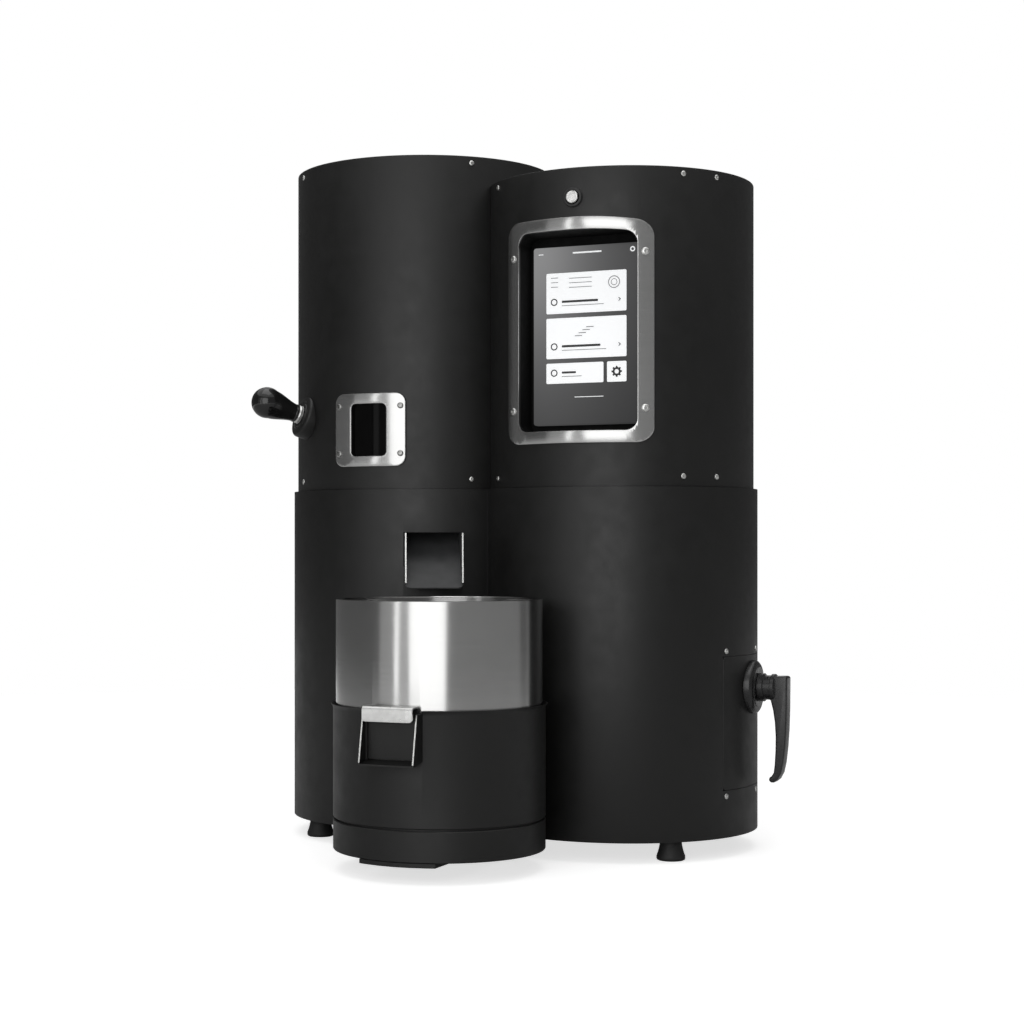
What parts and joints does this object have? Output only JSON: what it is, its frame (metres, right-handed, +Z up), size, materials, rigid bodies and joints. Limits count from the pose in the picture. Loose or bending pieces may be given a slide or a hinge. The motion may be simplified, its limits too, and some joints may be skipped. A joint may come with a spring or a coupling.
{
  "type": "coffee bean roaster",
  "caption": "Home coffee bean roaster: two joined black towers with a sight window, sampling scoop, touch display, chaff drawer and a steel cooling bin under a discharge chute.",
  "frame": {"origin": "on the ground, under the centre of the whole machine with its cooling bin, trier and latch", "axes": "+Z up, +X to the right tower as seen from the front, -Y to the front, where the cooling bin stands"},
  "size_m": [0.537, 0.5076, 0.7126],
  "materials": {
    "powder_coat": "satin black powder coat with a fine orange peel",
    "inner_steel": "plain stainless sheet, slightly toned by heat",
    "brushed_steel": "stainless brushed round the curve",
    "galvanised": "dull galvanised sheet",
    "rubber": "moulded black rubber",
    "black_plastic": "moulded black plastic, half gloss",
    "dark_glass": "dark heat-proof glass",
    "screen": null,
    "ceramic": "heater ceramic",
    "board": "circuit board lacquer",
    "motor_grey": "motor housing"
  },
  "bodies": {
    "machine": {"base_plate": "powder_coat", "lower_casing": "powder_coat", "middle_deck": "powder_coat", "upper_casing_left": "powder_coat", "upper_casing_right": "powder_coat", "top_plate_left": "powder_coat", "top_plate_right": "powder_coat", "foot_front_left": "rubber", "foot_rear_left": "rubber", "foot_front_right": "rubber", "foot_rear_right": "rubber", "charge_hopper": "inner_steel", "lid_hinge_bracket": "inner_steel", "roast_chamber": "inner_steel", "chamber_cover": "inner_steel", "chamber_floor": "inner_steel", "discharge_chute": "powder_coat", "air_heater": "ceramic", "agitator_motor": "motor_grey", "agitator_bearing": "galvanised", "chaff_duct": "galvanised", "cyclone": "galvanised", "blower_housing": "galvanised", "exhaust_duct": "galvanised", "exhaust_collar": "galvanised", "window_frame": "brushed_steel", "window_glass": "dark_glass", "display_bezel": "brushed_steel", "display_housing": "black_plastic", "touch_display": "screen", "control_board": "board", "button_collar": "brushed_steel", "trier_guide": "powder_coat", "drawer_shelf": "galvanised", "power_supply": "galvanised", "service_plate": "powder_coat", "power_inlet": "black_plastic", "bin_shelf": "powder_coat"},
    "charge_lid": {"charge_lid": "brushed_steel"},
    "power_button": {"power_button": "brushed_steel"},
    "power_switch": {"power_switch": "black_plastic"},
    "agitator": {"agitator": "inner_steel"},
    "blower_wheel": {"blower_wheel": "motor_grey"},
    "discharge_gate": {"discharge_gate": "inner_steel"},
    "trier_slide": {"trier_ferrule": "brushed_steel"},
    "trier": {"trier_handle": "black_plastic", "trier_scoop": "inner_steel"},
    "drawer": {"chaff_bin": "galvanised", "chaff_door": "powder_coat", "latch_escutcheon": "black_plastic"},
    "latch": {"latch_handle": "black_plastic", "latch_pawl": "galvanised"},
    "bin": {"bin_base": "powder_coat", "bin_bucket": "powder_coat", "cooling_pot": "brushed_steel", "bin_sieve": "inner_steel", "bin_spout": "powder_coat", "bin_fan_motor": "motor_grey"},
    "bin_gate": {"bin_gate": "brushed_steel"},
    "bin_fan": {"bin_fan": "black_plastic"}
  },
  "joints": [
    {"name": "charge_lid_hinge", "type": "hinge", "parent": "machine", "child": "charge_lid", "pos_m": [-0.1285, 0.15785, 0.6956], "axis": [-1, 0, 0], "range_deg": [0, 100]},
    {"name": "power_button_press", "type": "slide", "parent": "machine", "child": "power_button", "axis": [0, 1, 0], "range_m": [0, 0.0018], "stiffness_N_per_m": 400, "springref_m": -0.002},
    {"name": "power_switch_rock", "type": "hinge", "parent": "machine", "child": "power_switch", "pos_m": [-0.1085, 0.21155, 0.092], "axis": [-1, 0, 0], "range_deg": [0, 12]},
    {"name": "agitator_spin", "type": "hinge", "parent": "machine", "child": "agitator", "pos_m": [-0.1285, 0.08385, 0.39], "axis": [0, 0, 1], "continuous": true},
    {"name": "blower_spin", "type": "hinge", "parent": "machine", "child": "blower_wheel", "pos_m": [0.1215, 0.08385, 0.39], "axis": [0, 0, 1], "continuous": true},
    {"name": "discharge_gate_slide", "type": "slide", "parent": "machine", "child": "discharge_gate", "axis": [-0.4676, 0.884, 0], "range_m": [0, 0.026]},
    {"name": "trier_pull", "type": "slide", "parent": "machine", "child": "trier_slide", "axis": [-0.6239, -0.7178, 0.309], "range_m": [0, 0.08]},
    {"name": "trier_turn", "type": "hinge", "parent": "trier_slide", "child": "trier", "pos_m": [-0.21772, -0.01879, 0.439], "axis": [-0.6239, -0.7178, 0.309], "range_deg": [0, 180]},
    {"name": "drawer_slide", "type": "slide", "parent": "machine", "child": "drawer", "axis": [1, 0, 0], "range_m": [0, 0.11]},
    {"name": "latch_turn", "type": "hinge", "parent": "drawer", "child": "latch", "pos_m": [0.2315, 0.08385, 0.164], "axis": [-1, 0, 0], "range_deg": [0, 90]},
    {"name": "bin_slide", "type": "slide", "parent": "machine", "child": "bin", "axis": [0, -1, 0], "range_m": [0, 0.12]},
    {"name": "bin_gate_lift", "type": "slide", "parent": "bin", "child": "bin_gate", "axis": [0, 0, 1], "range_m": [0, 0.035]},
    {"name": "bin_fan_spin", "type": "hinge", "parent": "bin", "child": "bin_fan", "pos_m": [-0.0115, -0.13735, 0.073], "axis": [0, 0, 1], "continuous": true}
  ]
}
